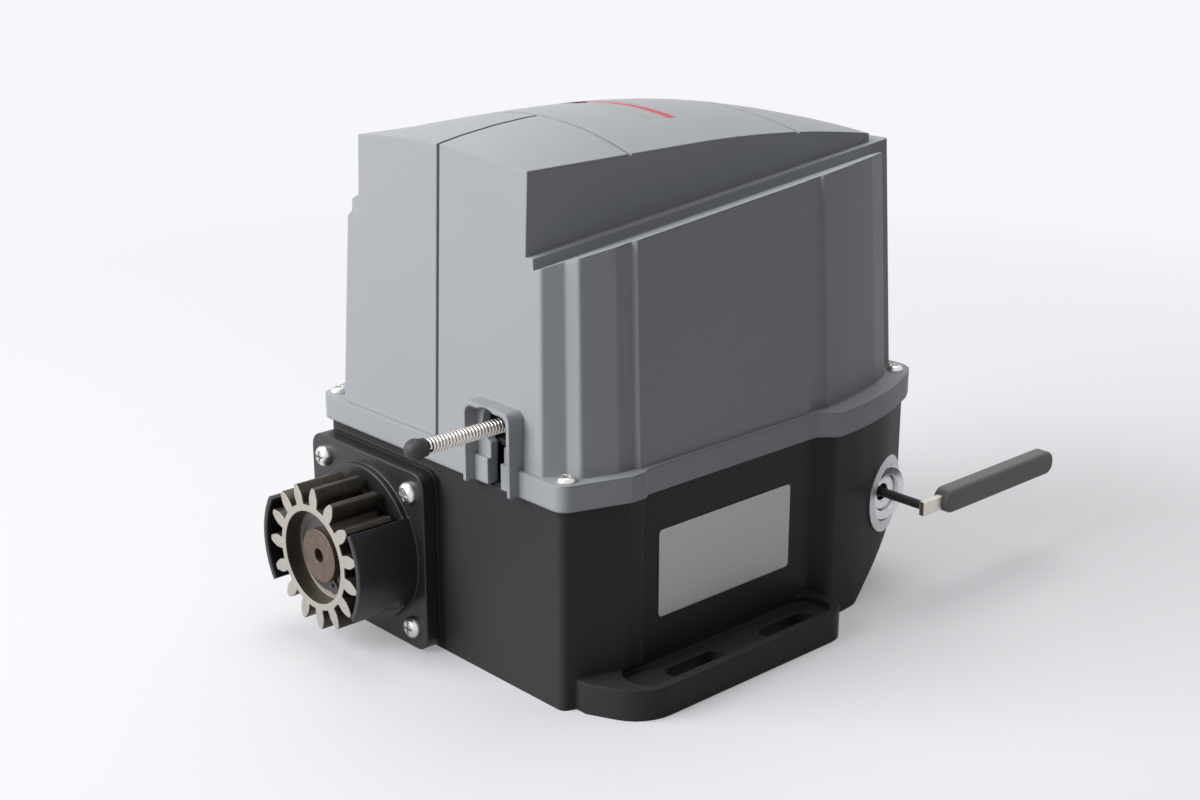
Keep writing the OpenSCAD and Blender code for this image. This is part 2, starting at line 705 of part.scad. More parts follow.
module stator_windings() {
    color([0.72, 0.36, 0.16])
    for (z = [stator_z0 - winding_h, stator_z0 + stator_h]) translate([worm_x, motor_y, z]) rotate_extrude()
        polygon(rounded([[rotor_r + winding_in, 0, winding_in / 2], [stator_r - winding_in, 0, winding_in],
                         [stator_r - winding_in, winding_h, winding_in], [rotor_r + winding_in, winding_h, winding_in / 2]]));
}
winding_in = 3;
module motor_end_bell() {
    color([0.55, 0.56, 0.58])
    difference() {
        union() {
            rod_z(worm_x, motor_y, housing_top, housing_top + bell_t, motor_r);
            for (a = [0:30:330]) translate([worm_x, motor_y, housing_top + bell_t - over]) rotate([0, 0, a])
                translate([bell_boss_r - over, -rib_w / 2, 0]) cube([motor_r - bell_boss_r - rib_h * 2, rib_w, rib_h]);
            rod_z(worm_x, motor_y, housing_top, housing_top + bell_t + rib_h, bell_boss_r);
        }
        rod_z(worm_x, motor_y, housing_top - over, housing_top + top_bearing_h, worm_bearing_r);
        for (a = TIE_ANGLES) rod_z(tie_x(a), tie_y(a), housing_top - over, housing_top + bell_t + over, tie_r + screw_gap);
    }
}
module motor_top_bearing() {
    color([0.7, 0.7, 0.72])
    translate([worm_x, motor_y, housing_top]) bearing(worm_journal_r + run_gap, worm_bearing_r, top_bearing_h);
}
module motor_screws() {
    color([0.75, 0.75, 0.72])
    for (a = TIE_ANGLES) translate([tie_x(a), tie_y(a), housing_top + bell_t])
        cross_screw(tie_r, motor_h + bell_t + lid_t - over, tie_head_r, tie_head_h);
}
end_ring_h = 6;
module rotor_core() {
    color([0.45, 0.45, 0.47])
    difference() {
        union() {
            rod_z(worm_x, motor_y, stator_z0, stator_z0 + stator_h, rotor_r);
            rod_z(worm_x, motor_y, stator_z0 - end_ring_h, stator_z0 + stator_h + end_ring_h, rotor_r - winding_in);
        }
        rod_z(worm_x, motor_y, stator_z0 - end_ring_h - over, stator_z0 + stator_h + end_ring_h + over, rotor_shaft_r);
    }
}
rotor_shaft_r = 8;
worm_root_r = worm_pitch_r - worm_m * 1.25;
worm_turns = 5;
worm_steps = 12;
worm_sides = 16;
neck_share = 0.88;
tip_share = 0.1;
root_share = 0.32;
// Radius of the single-start thread at an angle of its cross-section
function thread_r(a) =
    let (share = abs(turn(a)) / 360)
    worm_root_r + (worm_pitch_r + worm_m - worm_root_r) * max(0, min(1, (root_share - share) / (root_share - tip_share)));
module worm_thread() {
    h = PI * worm_m * worm_turns;
    translate([0, 0, -h / 2]) linear_extrude(h, twist = -360 * worm_turns, slices = worm_turns * worm_steps, $fn = 4)
        polygon([for (k = [0:worm_sides - 1]) let (a = 360 * k / worm_sides) thread_r(a) * [cos(a), sin(a)]]);
}
worm_core_z0 = worm_bearing_z + worm_bearing_h + slip_gap;
worm_core_z1 = block_z + upper_seat - upper_bearing_h - slip_gap;
module worm_shaft() {
    color([0.6, 0.6, 0.62])
    difference() {
        union() {
            rod_z(worm_x, motor_y, worm_bearing_z + slip_gap, worm_core_z0 + over, worm_journal_r);
            rod_z(worm_x, motor_y, worm_core_z0, worm_core_z1, worm_root_r * neck_share);
            rod_z(worm_x, motor_y, worm_core_z1 - over, lid_top + over, upper_journal_r);
            rod_z(worm_x, motor_y, lid_top, stator_z0 + stator_h + end_ring_h, rotor_shaft_r);
            rod_z(worm_x, motor_y, stator_z0 + stator_h + end_ring_h - over, housing_top + top_bearing_h - slip_gap, worm_journal_r);
            translate([worm_x, motor_y, gear_y]) worm_thread();
        }
        rod_z(worm_x, motor_y, 0, worm_bearing_z + slip_gap + centre_hole_r, centre_hole_r / 2);
    }
}

// Limit switch bracket on the casting, with the lever between its ears
pivot_y = 8;
ear_t = 2.5;
ear_half = 16;
ear_gap = 8;
bracket_y0 = 4.8;
bracket_y1 = 30;
bracket_screw_r = 2;
bracket_screw_l = 10;
pivot_pin_r = 2;
bracket_foot = 14;
BRACKET_SCREWS = [for (s = [-1, 1]) [lever_x + s * ear_half / 2, bracket_y1 - bracket_foot / 2]];
module limit_bracket() {
    color([0.15, 0.15, 0.16])
    difference() {
        union() {
            block([lever_x - ear_half, bracket_y1 - bracket_foot, block_z], [lever_x + ear_half, bracket_y1, block_z + ear_t]);
            block([lever_x - ear_half, bracket_y1 - ear_t, block_z], [lever_x + ear_half, bracket_y1, lever_z + ear_gap + ear_t]);
            for (z = [lever_z - ear_gap - ear_t, lever_z + ear_gap])
                block([lever_x - ear_half, bracket_y0, z], [lever_x + ear_half, bracket_y1, z + ear_t]);
            for (s = [-1, 1]) block([lever_x + s * (ear_half - ear_t / 2) - ear_t / 2, bracket_y1 - bracket_foot, block_z],
                                    [lever_x + s * (ear_half - ear_t / 2) + ear_t / 2, bracket_y1, lever_z - ear_gap]);
        }
        rod_z(lever_x, pivot_y, lever_z - ear_gap - ear_t - over, lever_z + ear_gap + ear_t + over, pivot_pin_r + run_gap);
        for (p = BRACKET_SCREWS) rod_z(p[0], p[1], block_z - over, block_z + ear_t + over, bracket_screw_r + screw_gap);
    }
}
module bracket_screws() {
    color([0.75, 0.75, 0.72])
    for (p = BRACKET_SCREWS) translate([p[0], p[1], block_z + ear_t])
        cross_screw(bracket_screw_r, bracket_screw_l + ear_t - over, bracket_screw_r * 2, bracket_screw_r);
}
switch_w = 6.4;
switch_y0 = 14;
switch_x = 12;
button_w = 1.2;
module microswitches() {
    color([0.1, 0.1, 0.1])
    for (s = [-1, 1]) {
        block([lever_x + s * switch_x - switch_w / 2, switch_y0, lever_z - ear_gap + screw_gap / 2],
              [lever_x + s * switch_x + switch_w / 2, bracket_y1 - ear_t, lever_z + ear_gap - screw_gap / 2]);
        rod_x(switch_y0 + ear_t, lever_z, lever_x + s * (switch_x - switch_w / 2) - (s > 0 ? button_w / 2 : over),
              lever_x + s * (switch_x - switch_w / 2) + (s > 0 ? over : button_w / 2), button_w);
    }
}
hub_barrel_r = 3.1;
stud_gap = 0.15;
stud_r = spring_d / 2 - wire_d - stud_gap;
spring_y1 = pivot_y - hub_barrel_r - soft_gap;
hub_arm_l = 13;
hub_arm_t = 3;
module limit_hub() {
    color([0.75, 0.75, 0.73])
    union() {
        rod_z(lever_x, pivot_y, lever_z - ear_gap + slip_gap, lever_z + ear_gap - slip_gap, hub_barrel_r);
        rod_z(lever_x, pivot_y, lever_z - ear_gap - ear_t, lever_z + ear_gap + ear_t, pivot_pin_r);
        rod_y(lever_x, lever_z, spring_y1 - stud_l, pivot_y, stud_r);
        block([lever_x - hub_arm_t / 2, pivot_y, lever_z - ear_gap / 2], [lever_x + hub_arm_t / 2, pivot_y + hub_arm_l, lever_z + ear_gap / 2]);
    }
}
stud_l = 7;

// Helical spring as one unbroken six-sided tube with straight ends
curl_steps = 8;
tube_sides = 6;
coil_r = (spring_d - wire_d) / 2;
spring_y0 = -38.4;
coil_pitch = (spring_y1 - spring_y0 - 2 * wire_d) / spring_curls;
coil_n = spring_curls * curl_steps;
function coil_point(i) =
    let (a = 360 * i / curl_steps) [coil_r * cos(a), spring_y0 + wire_d + coil_pitch * i / curl_steps, coil_r * sin(a)];
COIL = concat([coil_point(0) - [0, wire_d, 0]], [for (i = [0:coil_n]) coil_point(i)], [coil_point(coil_n) + [0, wire_d, 0]]);
function coil_dir(i) = i == 0 || i == len(COIL) - 1 ? [0, 1, 0] : unit(COIL[i + 1] - COIL[i - 1]);
// Ring of tube points square to the wire, with one axis always radial
function coil_ring(i) =
    let (p = COIL[i], d = coil_dir(i), r = unit([p[0], 0, p[2]]), u = unit(r - d * (r * d)), v = cross(d, u))
    [for (k = [0:tube_sides - 1]) p + wire_d / 2 * (u * cos(360 * k / tube_sides) + v * sin(360 * k / tube_sides))];
coil_gap = min([for (i = [curl_steps / 2:curl_steps * 2]) norm(coil_point(i) - coil_point(0))]) - wire_d;
echo(str("least gap of the spring to itself: ", coil_gap, " mm"));
module limit_spring() {
    color([0.75, 0.74, 0.72])
    translate([lever_x, 0, lever_z]) polyhedron([for (i = [0:len(COIL) - 1]) each coil_ring(i)], concat(
        [[for (k = [0:tube_sides - 1]) k]],
        [for (i = [0:len(COIL) - 2], k = [0:tube_sides - 1])
            [i * tube_sides + k, (i + 1) * tube_sides + k, (i + 1) * tube_sides + (k + 1) % tube_sides]],
        [for (i = [0:len(COIL) - 2], k = [0:tube_sides - 1])
            [i * tube_sides + k, (i + 1) * tube_sides + (k + 1) % tube_sides, i * tube_sides + (k + 1) % tube_sides]],
        [[for (k = [tube_sides - 1:-1:0]) (len(COIL) - 1) * tube_sides + k]]
    ));
}
ball_neck_l = 3;
module limit_ball() {
    color([0.08, 0.08, 0.08])
    union() {
        translate([lever_x, spring_y0 - soft_gap - ball_d / 2, lever_z]) sphere(r = ball_d / 2);
        rod_y(lever_x, lever_z, spring_y0 - soft_gap - ball_neck_l, spring_y0 - soft_gap, ball_d * 0.42);
        rod_y(lever_x, lever_z, spring_y0 - soft_gap - over, spring_y0 + ball_neck_l, stud_r);
    }
}

// Control parts behind the motor
tray_z = 86;
tray_t = 3;
tray_y0 = 142;
tray_y1 = 221;
tray_x = 66;
tray_boss_r = 5;
tray_screw_r = 2;
tray_screw_in = 7;
tray_rear_x = 40;
tray_screw_l = 9;
TRAY_BOSSES = [for (s = [-1, 1], p = [[tray_x - tray_screw_in, tray_y0 + tray_screw_in], [tray_rear_x, tray_y1 - tray_screw_in]]) [s * p[0], p[1]]];
board_y = 146;
board_w = 118;
board_t = 1.6;
board_z0 = 96;
board_z1 = 182;
standoff = 3;
module board_tray() {
    color([0.2, 0.2, 0.21])
    difference() {
        union() {
            block([-tray_x, tray_y0, tray_z], [tray_x, tray_y1, tray_z + tray_t]);
            block([-tray_x, tray_y0, tray_z], [tray_x, tray_y0 + tray_t, board_z1 + standoff]);
            for (s = [-1, 1], z = [board_z0 + tray_screw_in, board_z1 - tray_screw_in])
                rod_y(s * (board_w / 2 - tray_screw_in), z, tray_y0, board_y + standoff, standoff);
        }
        for (p = TRAY_BOSSES) rod_z(p[0], p[1], tray_z - over, tray_z + tray_t + over, tray_screw_r + screw_gap);
        rod_z(inlet_x, inlet_y, tray_z - over, tray_z + tray_t + over, inlet_r);
    }
}
module tray_screws() {
    color([0.75, 0.75, 0.72])
    for (p = TRAY_BOSSES) translate([p[0], p[1], tray_z + tray_t]) cross_screw(tray_screw_r, tray_t + tray_screw_l - over, tray_screw_r * 2, tray_screw_r);
}
board_face = board_y + standoff + board_t;
module control_board() {
    color([0.08, 0.35, 0.16])
    block([-board_w / 2, board_y + standoff, board_z0], [board_w / 2, board_face, board_z1]);
}
core_w = 46;
core_d = 20;
core_h = 40;
core_x = -30;
core_z = 142;
coil_w = 24;
coil_out = 6;
module transformer() {
    color([0.35, 0.35, 0.37])
    union() {
        block([core_x - core_w / 2, board_face, core_z - core_h / 2], [core_x + core_w / 2, board_face + core_d, core_z + core_h / 2]);
        block([core_x - coil_w / 2, board_face, core_z - core_h / 2 - coil_out],
              [core_x + coil_w / 2, board_face + core_d + coil_out, core_z + core_h / 2 + coil_out]);
    }
}
relay_w = 15;
relay_d = 16;
relay_h = 19;
relay_x = 14;
relay_gap = 4;
relay_z = 150;
module relays() {
    color([0.1, 0.15, 0.3])
    for (i = [0:2]) translate([relay_x + (relay_w + relay_gap) * (i - 0.5), board_face, relay_z])
        cube([relay_w, relay_d, relay_h]);
}
block_w = 100;
block_d = 12;
block_h = 12;
block_zz = 100;
ways = 14;
module terminal_block() {
    color([0.1, 0.45, 0.2])
    difference() {
        block([-block_w / 2, board_face, block_zz], [block_w / 2, board_face + block_d, block_zz + block_h]);
        for (i = [0:ways - 1])
            rod_y(-block_w / 2 + block_w / ways * (i + 0.5), block_zz + block_h / 2, board_face + block_d / 2, board_face + block_d + over,
                  block_w / ways / 3);
    }
}
cap_r = 17.5;
cap_h = 78;
cap_x = 40;
cap_y = 186;
module capacitor() {
    color([0.8, 0.8, 0.78])
    union() {
        rod_z(cap_x, cap_y, tray_z + tray_t, tray_z + tray_t + cap_h, cap_r);
        for (s = [-1, 1]) translate([cap_x + s * cap_r / 2 - over, cap_y - wall, tray_z + tray_t + cap_h - over])
            cube([over, wall * 2, cap_r / 2]);
    }
}
clip_h = 12;
module capacitor_clip() {
    color([0.3, 0.3, 0.3])
    difference() {
        union() {
            rod_z(cap_x, cap_y, tray_z + tray_t, tray_z + tray_t + clip_h, cap_r + wall);
            block([cap_x + cap_r, cap_y - clip_h / 2, tray_z + tray_t], [cap_x + cap_r + clip_h * 0.6, cap_y + clip_h / 2, tray_z + 2 * tray_t]);
        }
        rod_z(cap_x, cap_y, tray_z, tray_z + tray_t + clip_h + over, cap_r + slip_gap);
    }
}
grommet_bore_r = 8;
module cable_grommet() {
    color([0.07, 0.07, 0.07])
    translate([inlet_x, inlet_y, cast_wall]) rotate_extrude() polygon([
        [grommet_bore_r, -cast_wall + over], [inlet_r, -cast_wall + over], [inlet_r, cast_wall],
        [inlet_r + wall, cast_wall], [inlet_r + wall, cast_wall + wall], [grommet_bore_r, cast_wall + wall]
    ]);
}

// Lock, ring and key in the right side
ring_t = 1.2;
module lock_ring() {
    color([0.72, 0.72, 0.73])
    intersection() {
        difference() {
            rod_x(lock_y, lock_z, lock_in_x, foot_x, ring_r);
            rod_x(lock_y, lock_z, lock_in_x - over, foot_x + over, lock_bore_r + slip_gap);
        }
        translate([0, 0, base_h / 8]) linear_extrude(base_h * 3 / 4) difference() {
            base_plan(ring_t);
            base_plan(0);
        }
    }
}
barrel_x1 = 89;
module lock_barrel() {
    color([0.8, 0.8, 0.8])
    difference() {
        rod_x(lock_y, lock_z, lock_in_x, barrel_x1, lock_bore_r);
        rod_x(lock_y, lock_z, lock_in_x - over, barrel_x1 + over, lock_plug_r + run_gap);
    }
}
plug_x1 = 87;
shank_r = 4;
shank_x1 = 112;
shank_in = 12;
module lock_plug() {
    color([0.1, 0.1, 0.1])
    difference() {
        rod_x(lock_y, lock_z, cam_x1, plug_x1, lock_plug_r);
        rod_x(lock_y, lock_z, plug_x1 - shank_in, plug_x1 + over, shank_r);
    }
}
cam_x0 = 50;
cam_x1 = 58;
module release_cam() {
    color([0.5, 0.5, 0.52])
    rod_x(lock_y, lock_z + cam_offset, cam_x0, cam_x1, cam_r);
}
module key_shank() {
    color([0.1, 0.1, 0.1])
    rod_x(lock_y, lock_z, plug_x1 - shank_in, shank_x1, shank_r);
}
strip_t = 3;
strip_w = 7;
strip_l = 10;
grip_w = 12;
grip_t = 9;
grip_y0 = lock_y + strip_l;
module key_strip() {
    color([0.6, 0.5, 0.3])
    block([shank_x1, lock_y - shank_r, lock_z - strip_w / 2], [shank_x1 + strip_t, grip_y0, lock_z + strip_w / 2]);
}
module key_grip() {
    color([0.25, 0.25, 0.26])
    along_x(shank_x1 + strip_t / 2 - grip_t / 2, shank_x1 + strip_t / 2 + grip_t / 2)
        translate([grip_y0 + grip_l / 2, lock_z]) polygon(rounded(box_outline(grip_l, grip_w, grip_w / 2.2), 8));
}

// Slider that the cam pushes, with its two guide pins
module release_slider() {
    color([0.55, 0.55, 0.57])
    union() {
        block([-gear_x - slider_t / 2, slider_front, lock_z - slider_t / 2], [slider_x1, slider_back, lock_z + slider_t / 2]);
        block([-gear_x - slider_t / 2, slider_front, gear_y - slider_t / 2], [-gear_x + slider_t / 2, slider_back, lock_z]);
        rod_y(-gear_x, gear_y, pin_y + pin_r + soft_gap, slider_front + over, slider_pin_r);
        rod_y(slider_guide_x, lock_z, block_y1 - guide_depth + slider_travel + over, slider_front + over, slider_pin_r);
    }
}

// Plan of the cover at the top of its flange
function hood_half(in) = [
    [hood_front_x - in, in, edge_r / 2],
    [notch_x - in, notch_y + in / 2, edge_r / 3],
    [column_x - in, column_y + in, edge_r / 2],
    [column_x2 - in, column_y2 + in / 2, edge_r],
    [column_x2 - in, panel_y0 - edge_r, edge_r / 6],
    [hood_x - in, panel_y0 - edge_r * 0.6 + in / 3, edge_r / 6],
    [hood_x - in, hood_y1, edge_r / 6],
    [hood_x - in - groove_step, hood_y1 + edge_r / 3, edge_r / 6],
    [hood_x - in - groove_step, hood_y2, edge_r / 6],
    [hood_x - in, hood_y2 + edge_r / 3, edge_r / 6],
    [hood_x - in - edge_r / 2, bump_y1, haunch_r],
    [haunch_x - in - edge_r * 2, haunch_y, edge_r],
    [notch_x - in, base_depth - notch_rear - in, edge_r / 2],
    [hood_tail_x - in, base_depth - notch_rear - in, edge_r / 3],
    [hood_tail_x - in, base_depth - edge_r / 2 - in, edge_r / 2]
];
hood_front_x = 70.3;
notch_x = 76;
notch_y = 8.6;
column_x = 82.5;
column_y = 10.7;
column_x2 = 88.3;
column_y2 = 26.7;
hood_x = 90.6;
hood_y1 = 143;
hood_y2 = 153.5;
groove_step = 1.6;
notch_rear = 18;
hood_tail_x = 66.5;
hood_mid = 115;
hood_top = 240;
ledge_drop = 6.8;
ledge_x = 84.3;
tier_x = 62;
tier_h = 4.4;
crown_rear = 216;
module hood_taper(in) {
    h = hood_top - rim_top + over;
    top = [1 - h * tan(side_draft) / hood_x, 1 - h * tan(front_draft) / hood_mid];
    translate([0, hood_mid, rim_top - over]) linear_extrude(h, scale = top, slices = 1, $fn = 4)
        translate([0, -hood_mid]) polygon(rounded(both_sides(hood_half(in)), 3));
}
// Everything under the two side ledges and the tiers beside the crown
module under_ledge(in) {
    z0 = ledge_z - in;
    side = [[tier_x - in, z0 - ledge_drop + tier_h], [tier_x - in + edge_r / 8, z0 - ledge_drop], [ledge_x, z0],
            [foot_x, z0 + ledge_drop]];
    rotate([ledge_rise, 0, 0]) along_y(-foot_x / 2, base_depth + foot_x / 2) polygon(concat(
        [[foot_x, 0]], [for (i = [3:-1:0]) side[i]], [for (p = side) [-p[0], p[1]]], [[-foot_x, 0]]
    ));
}
edge_peak_y = 100;
edge_arc_r = 700;
front_rise = 2.5;
rear_rise = 3;
mid_rise = 9.5;
mid_rise_y = 70;
function edge_z(y) = crown_edge_z - pow(max(0, y - edge_peak_y), 2) / 2 / edge_arc_r;
function rise(y) = mid_rise - (y < mid_rise_y ? (mid_rise - front_rise) * pow(1 - y / mid_rise_y, 2)
                                             : (mid_rise - rear_rise) * pow((y - mid_rise_y) / (crown_rear - mid_rise_y), 2));
function dome_z(x, y) = edge_z(y) + rise(y) * (1 - x * x / crown_x / crown_x);
// Crown block whose top is the dome
module crown(in, nx, ny) {
    x1 = crown_x - in;
    y1 = crown_rear - in;
    pts = concat([for (j = [0:ny], i = [0:nx]) let (x = x1 * (2 * i / nx - 1), y = y1 * j / ny) [x, y, dome_z(x, y) - in]],
                 [[-x1, 0, base_h], [x1, 0, base_h], [x1, y1, base_h], [-x1, y1, base_h]]);
    m = nx + 1;
    low = m * (ny + 1);
    polyhedron(pts, concat(
        [for (j = [0:ny - 1], i = [0:nx - 1]) [j * m + i, (j + 1) * m + i, j * m + i + 1]],
        [for (j = [0:ny - 1], i = [0:nx - 1]) [j * m + i + 1, (j + 1) * m + i, (j + 1) * m + i + 1]],
        [concat([low + 1, low], [for (i = [0:nx]) i])],
        [concat([low + 3, low + 2], [for (i = [nx:-1:0]) ny * m + i])],
        [concat([low, low + 3], [for (j = [ny:-1:0]) j * m])],
        [concat([low + 2, low + 1], [for (j = [0:ny]) j * m + nx])],
        [[low, low + 1, low + 2, low + 3]]
    ));
}
module hood_solid(in, nx, ny) {
    intersection() {
        hood_taper(in);
        union() {
            under_ledge(in);
            crown(in, nx, ny);
        }
    }
}
seam_w = 1.8;
seam_d = 1.5;
cross_y0 = 60;
cross_y1 = 165;
cross_w = 2;
badge_w = 62;
badge_l = 17;
badge_y = 108;
badge_d = 1.5;
frame_in = 27;
frame_t = 2;
frame_front = -7;
frame_top = 126;
keyhole_r = 9.5;
slot_way = 8.6;
// Inverted U moulded round the lever's way out
module lever_frame(half, top) {
    translate([lever_x, 0]) polygon(rounded([[half, rim_z, 0], [half, top, edge_r], [-half, top, edge_r], [-half, rim_z, 0]]));
}
module cover() {
    color([0.45, 0.47, 0.49])
    difference() {
        union() {
            hood_solid(0, 10, 12);
            translate([0, 0, rim_z]) linear_extrude(rim_h) base_plan(rim_reach);
            along_y(frame_front, wall) lever_frame(frame_in / 2 + frame_t, frame_top + frame_t);
        }
        difference() {
            hood_solid(wall, 6, 6);
            block([-foot_x, -foot_x, rim_z], [foot_x, base_depth * 2, rim_z + over / 2]);
        }
        translate([0, 0, rim_z - over]) linear_extrude(rim_h + over) polygon(rounded(both_sides(hood_half(wall)), 3));
        difference() {
            along_y(frame_front - over, -rim_reach + over * 2) lever_frame(frame_in / 2, frame_top);
            block([lever_x - frame_in, -rim_reach, 0], [lever_x + frame_in, wall, rim_top]);
            hood_solid(0, 6, 6);
        }
        rod_y(lever_x, lever_z, frame_front, wall * 3, keyhole_r);
        block([lever_x - slot_way / 2, frame_front, rim_z - over], [lever_x + slot_way / 2, wall * 3, lever_z]);
        difference() {
            block([-seam_w / 2, -over, rim_top], [seam_w / 2, cross_y0, hood_top]);
            hood_solid(seam_d, 10, 12);
        }
        difference() {
            for (y = [cross_y0, cross_y1]) block([-foot_x, y, edge_z(y) - seam_d], [foot_x, y + cross_w, hood_top]);
            hood_solid(seam_d, 10, 12);
        }
        difference() {
            translate([0, badge_y, ledge_z]) linear_extrude(hood_top) polygon(rounded(box_outline(badge_w, badge_l, edge_r / 2)));
            hood_solid(badge_d, 10, 12);
        }
        for (p = SCREWS) rod_z(p[0], p[1], rim_z - over, rim_top + over, cover_screw_r + screw_gap);
    }
}
module cover_screws() {
    color([0.78, 0.78, 0.76])
    for (p = SCREWS) translate([p[0], p[1], rim_top]) cross_screw(cover_screw_r, rim_h + cover_screw_l / 2, cover_head_r, cover_head_h);
}
panel_gap = 0.3;
panel_t = 0.8;
// Bare insert in the recess on the crown
module top_panel() {
    color([0.5, 0.1, 0.1])
    translate([0, badge_y, 0]) intersection() {
        translate([0, 0, ledge_z]) linear_extrude(hood_top)
            polygon(rounded(box_outline(badge_w - 2 * panel_gap, badge_l - 2 * panel_gap, edge_r / 2)));
        translate([0, -badge_y, 0]) difference() {
            crown(badge_d - panel_t, 10, 12);
            crown(badge_d, 10, 12);
        }
    }
}

at_front() base_housing();
at_front() cover_seal();
at_front() nameplate();
at_front() pinion_flange();
at_front() flange_screws();
at_front() shaft_seal();
at_front() front_bearing();
at_front() rear_bearing();
at_front() gearbox_lid();
at_front() lid_screws();
at_front() lower_worm_bearing();
at_front() upper_worm_bearing();
at_front() motor_housing();
at_front() stator_core();
at_front() stator_windings();
at_front() motor_end_bell();
at_front() motor_top_bearing();
at_front() motor_screws();
at_front() board_tray();
at_front() tray_screws();
at_front() control_board();
at_front() transformer();
at_front() relays();
at_front() terminal_block();
at_front() capacitor();
at_front() capacitor_clip();
at_front() cable_grommet();
at_front() limit_bracket();
at_front() bracket_screws();
at_front() microswitches();
at_front() lock_ring();
at_front() lock_barrel();
at_front() cover();
at_front() cover_screws();
at_front() top_panel();
at_front() pinion();
at_front() output_shaft();
at_front() worm_wheel();
at_front() circlip();
at_front() shaft_key();
at_front() worm_shaft();
at_front() rotor_core();
at_front() clutch_ring();
at_front() clutch_pin();
at_front() release_slider();
at_front() lock_plug();
at_front() release_cam();
at_front() key_shank();
at_front() key_strip();
at_front() key_grip();
at_front() limit_hub();
at_front() limit_spring();
at_front() limit_ball();
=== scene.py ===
import json
import math

import bmesh
import bpy
from mathutils import Matrix, Vector

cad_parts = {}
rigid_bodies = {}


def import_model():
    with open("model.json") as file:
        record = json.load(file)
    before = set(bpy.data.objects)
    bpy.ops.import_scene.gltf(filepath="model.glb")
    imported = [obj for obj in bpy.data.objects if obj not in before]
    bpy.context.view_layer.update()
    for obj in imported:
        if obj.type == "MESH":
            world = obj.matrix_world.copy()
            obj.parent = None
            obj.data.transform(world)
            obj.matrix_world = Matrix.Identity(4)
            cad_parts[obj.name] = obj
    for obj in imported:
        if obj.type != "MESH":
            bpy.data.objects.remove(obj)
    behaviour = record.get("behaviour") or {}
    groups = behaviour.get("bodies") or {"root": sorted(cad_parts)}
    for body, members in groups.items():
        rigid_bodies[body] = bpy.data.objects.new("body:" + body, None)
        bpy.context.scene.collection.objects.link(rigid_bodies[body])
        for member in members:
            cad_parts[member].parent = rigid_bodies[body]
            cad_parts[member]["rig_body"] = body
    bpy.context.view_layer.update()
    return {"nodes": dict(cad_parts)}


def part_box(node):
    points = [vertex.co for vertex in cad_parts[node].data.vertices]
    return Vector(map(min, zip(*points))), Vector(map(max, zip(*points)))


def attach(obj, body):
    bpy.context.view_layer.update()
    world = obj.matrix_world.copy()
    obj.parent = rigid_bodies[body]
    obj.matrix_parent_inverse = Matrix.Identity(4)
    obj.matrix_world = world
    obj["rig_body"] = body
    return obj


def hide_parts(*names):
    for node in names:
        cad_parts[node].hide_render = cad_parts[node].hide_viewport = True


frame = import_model()
scene = bpy.context.scene
scene.view_settings.view_transform = "Standard"

# The view: a camera on a tripod, off the corner between the gate side and the side with
# the name panel, looking a little down.
camera_place = (0.5996, -0.5406, 0.3660)
camera_down_deg = 18.27
camera_turn_deg = 47.51
lens_mm = 54.39
sensor_w_mm = 36
camera = bpy.data.objects.new("camera", bpy.data.cameras.new("camera"))
camera.location = camera_place
camera.rotation_euler = (math.radians(90 - camera_down_deg), 0, math.radians(camera_turn_deg))
camera.data.sensor_width = sensor_w_mm
camera.data.lens = lens_mm
scene.collection.objects.link(camera)
scene.camera = camera


# The room: a white table in a pale room, under a large soft window on the gate side and
# a smaller one overhead. The camera, and what it sees in metal, find the table and the
# room nearly white. Less light than that falls back on the operator.
class Wire:
    """One socket of a tree of nodes. Sums and products of wires add the Math nodes."""

    def __init__(self, nodes, socket):
        self.nodes = nodes
        self.socket = socket

    def work_out(self, operation, first, second):
        return self.nodes.node("ShaderNodeMath", {"operation": operation}, {0: first, 1: second})

    def __add__(self, other):
        return self.work_out("ADD", self, other)

    def __sub__(self, other):
        return self.work_out("SUBTRACT", self, other)

    def __rsub__(self, other):
        return self.work_out("SUBTRACT", other, self)

    def __mul__(self, other):
        return self.work_out("MULTIPLY", self, other)

    def __lt__(self, other):
        return self.work_out("LESS_THAN", self, other)

    __radd__ = __add__
    __rmul__ = __mul__


class Nodes:
    """The nodes of one material or of the world."""

    def __init__(self, tree):
        self.tree = tree

    def node(self, kind, settings, inputs, output=0):
        made = self.tree.nodes.new(kind)
        for name, value in settings.items():
            if name == "stops":
                while len(made.color_ramp.elements) < len(value):
                    made.color_ramp.elements.new(1.0)
                for element, (position, shade) in zip(made.color_ramp.elements, value):
                    element.position = position
                    element.color = (shade, shade, shade, 1)
            else:
                setattr(made, name, value)
        for name, value in inputs.items():
            self.join(made.inputs[name], value)
        return Wire(self, made.outputs[output])

    def join(self, socket, value):
        if isinstance(value, Wire):
            self.tree.links.new(value.socket, socket)
        else:
            socket.default_value = value

    def seen(self):
        """One where the camera looks, straight, in a mirror or through a glass, else zero."""
        kinds = ("Is Camera Ray", "Is Glossy Ray", "Is Transmission Ray")
        straight, mirrored, through = [self.node("ShaderNodeLightPath", {}, {}, kind) for kind in kinds]
        return straight + mirrored + through


